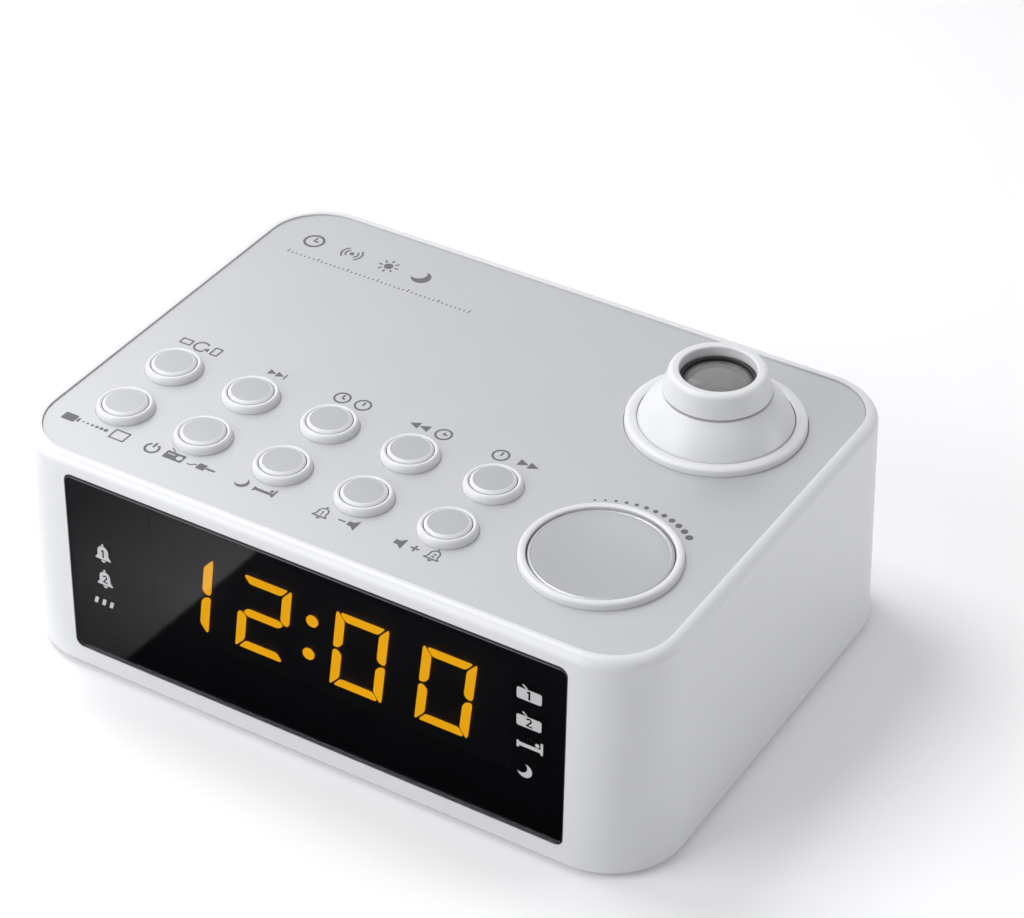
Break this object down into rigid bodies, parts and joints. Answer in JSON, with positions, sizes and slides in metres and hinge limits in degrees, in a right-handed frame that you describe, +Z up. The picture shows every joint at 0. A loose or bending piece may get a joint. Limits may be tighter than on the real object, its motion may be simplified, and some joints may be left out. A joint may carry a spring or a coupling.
{
  "type": "projection alarm clock",
  "caption": "Low rounded table clock radio with a lit segment display, round keys on a silver top plate and a swivelling time projector.",
  "frame": {"origin": "on the table, under the middle of the cabinet", "axes": "+X to the right along the front, +Y to the back, +Z up; the display faces -Y"},
  "size_m": [0.1992, 0.1444, 0.0858],
  "materials": {
    "white_case": "satin gloss moulded",
    "base_plastic": "fine texture",
    "silver_plate": "satin silver lacquer",
    "window": "polished smoked",
    "black_plastic": "satin",
    "lit_amber": "glowing",
    "unlit_segment": "diffuse",
    "circuit_board": "solder mask",
    "lamp_epoxy": "clear resin",
    "key_silver": "satin silver lacquer, polished edge",
    "switch_plastic": "moulded",
    "capacitor_sleeve": "shrink sleeve",
    "tin_plate": "tinned",
    "connector_plastic": "moulded",
    "ribbon_vinyl": "soft",
    "black_rubber": "matt",
    "speaker_metal": "black lacquer",
    "speaker_paper": "pressed paper",
    "steel_screw": "zinc plated",
    "ferrite": "sintered",
    "copper_wire": "enamelled wire",
    "cell_jacket": "printed jacket",
    "lens_glass": "polished"
  },
  "bodies": {
    "cabinet_group": {"cabinet": "white_case", "base_cover": "base_plastic", "top_plate": "silver_plate", "display_window": "window", "display_bezel": "black_plastic", "digit_block": "black_plastic", "lit_segments": "lit_amber", "unlit_segments": "unlit_segment", "display_board": "circuit_board", "indicator_lamps": "lamp_epoxy", "key_board": "circuit_board", "tact_switches": "switch_plastic", "main_board": "circuit_board", "chips": "black_plastic", "capacitors": "capacitor_sleeve", "tuner_can": "tin_plate", "board_connectors": "connector_plastic", "ribbon_cable": "ribbon_vinyl", "jack_board": "circuit_board", "power_inlet": "black_plastic", "audio_socket": "black_plastic", "antenna_grommet": "black_rubber", "speaker_frame": "speaker_metal", "speaker_magnet": "speaker_metal", "speaker_cone": "speaker_paper", "speaker_screws": "steel_screw", "ferrite_rod": "ferrite", "rod_coil": "copper_wire", "rod_clips": "base_plastic", "backup_cells": "cell_jacket", "cell_contacts": "tin_plate", "rubber_feet": "black_rubber", "case_screws": "steel_screw", "board_screws": "steel_screw", "retainer_ring": "black_plastic", "retainer_screws": "steel_screw", "wave_washer": "tin_plate"},
    "rotate_key": {"rotate_key": "key_silver"},
    "memory_key": {"memory_key": "key_silver"},
    "clock_set_key": {"clock_set_key": "key_silver"},
    "hour_key": {"hour_key": "key_silver"},
    "minute_key": {"minute_key": "key_silver"},
    "projection_key": {"projection_key": "key_silver"},
    "power_key": {"power_key": "key_silver"},
    "sleep_key": {"sleep_key": "key_silver"},
    "volume_down_key": {"volume_down_key": "key_silver"},
    "volume_up_key": {"volume_up_key": "key_silver"},
    "snooze_key": {"snooze_key": "key_silver"},
    "battery_door": {"battery_door": "base_plastic"},
    "swivel": {"swivel_carrier": "black_plastic"},
    "projector": {"projector_ball": "white_case", "trunnion_pins": "steel_screw", "lamp_tube": "black_plastic", "lamp_board": "circuit_board", "projector_lamp": "lamp_epoxy", "condenser_lens": "lens_glass", "projector_glass": "lens_glass"},
    "focus_ring": {"focus_barrel": "white_case"},
    "lens_slide": {"lens_cell": "black_plastic", "objective_lens": "lens_glass"}
  },
  "joints": [
    {"name": "rotate_press", "type": "slide", "parent": "cabinet_group", "child": "rotate_key", "axis": [0, 0, 1], "range_m": [-0.0006, 0], "stiffness_N_per_m": 350, "springref_m": 0.0012},
    {"name": "memory_press", "type": "slide", "parent": "cabinet_group", "child": "memory_key", "axis": [0, 0, 1], "range_m": [-0.0006, 0], "stiffness_N_per_m": 350, "springref_m": 0.0012},
    {"name": "clock_set_press", "type": "slide", "parent": "cabinet_group", "child": "clock_set_key", "axis": [0, 0, 1], "range_m": [-0.0006, 0], "stiffness_N_per_m": 350, "springref_m": 0.0012},
    {"name": "hour_press", "type": "slide", "parent": "cabinet_group", "child": "hour_key", "axis": [0, 0, 1], "range_m": [-0.0006, 0], "stiffness_N_per_m": 350, "springref_m": 0.0012},
    {"name": "minute_press", "type": "slide", "parent": "cabinet_group", "child": "minute_key", "axis": [0, 0, 1], "range_m": [-0.0006, 0], "stiffness_N_per_m": 350, "springref_m": 0.0012},
    {"name": "projection_press", "type": "slide", "parent": "cabinet_group", "child": "projection_key", "axis": [0, 0, 1], "range_m": [-0.0006, 0], "stiffness_N_per_m": 350, "springref_m": 0.0012},
    {"name": "power_press", "type": "slide", "parent": "cabinet_group", "child": "power_key", "axis": [0, 0, 1], "range_m": [-0.0006, 0], "stiffness_N_per_m": 350, "springref_m": 0.0012},
    {"name": "sleep_press", "type": "slide", "parent": "cabinet_group", "child": "sleep_key", "axis": [0, 0, 1], "range_m": [-0.0006, 0], "stiffness_N_per_m": 350, "springref_m": 0.0012},
    {"name": "volume_down_press", "type": "slide", "parent": "cabinet_group", "child": "volume_down_key", "axis": [0, 0, 1], "range_m": [-0.0006, 0], "stiffness_N_per_m": 350, "springref_m": 0.0012},
    {"name": "volume_up_press", "type": "slide", "parent": "cabinet_group", "child": "volume_up_key", "axis": [0, 0, 1], "range_m": [-0.0006, 0], "stiffness_N_per_m": 350, "springref_m": 0.0012},
    {"name": "snooze_press", "type": "slide", "parent": "cabinet_group", "child": "snooze_key", "axis": [0, 0, 1], "range_m": [-0.0008, 0], "stiffness_N_per_m": 500, "springref_m": 0.0016},
    {"name": "battery_door_slide", "type": "slide", "parent": "cabinet_group", "child": "battery_door", "axis": [1, 0, 0], "range_m": [0, 0.008]},
    {"name": "projector_swivel", "type": "hinge", "parent": "cabinet_group", "child": "swivel", "pos_m": [0.0607, 0.0331, 0.0614], "axis": [0, 0, 1], "range_deg": [-90, 90]},
    {"name": "projector_tilt", "type": "hinge", "parent": "swivel", "child": "projector", "pos_m": [0.0607, 0.0331, 0.06145], "axis": [1, 0, 0], "range_deg": [-25, 25]},
    {"name": "focus_turn", "type": "hinge", "parent": "projector", "child": "focus_ring", "pos_m": [0.0607, 0.0331, 0.0805], "axis": [0, 0, 1], "range_deg": [-90, 90]},
    {"name": "lens_travel", "type": "slide", "parent": "projector", "child": "lens_slide", "axis": [0, 0, 1], "range_m": [-0.001, 0.001]}
  ],
  "couplings": [
    {"joint": "focus_turn", "follows": "lens_travel", "rad_per_m": 1570.8}
  ]
}
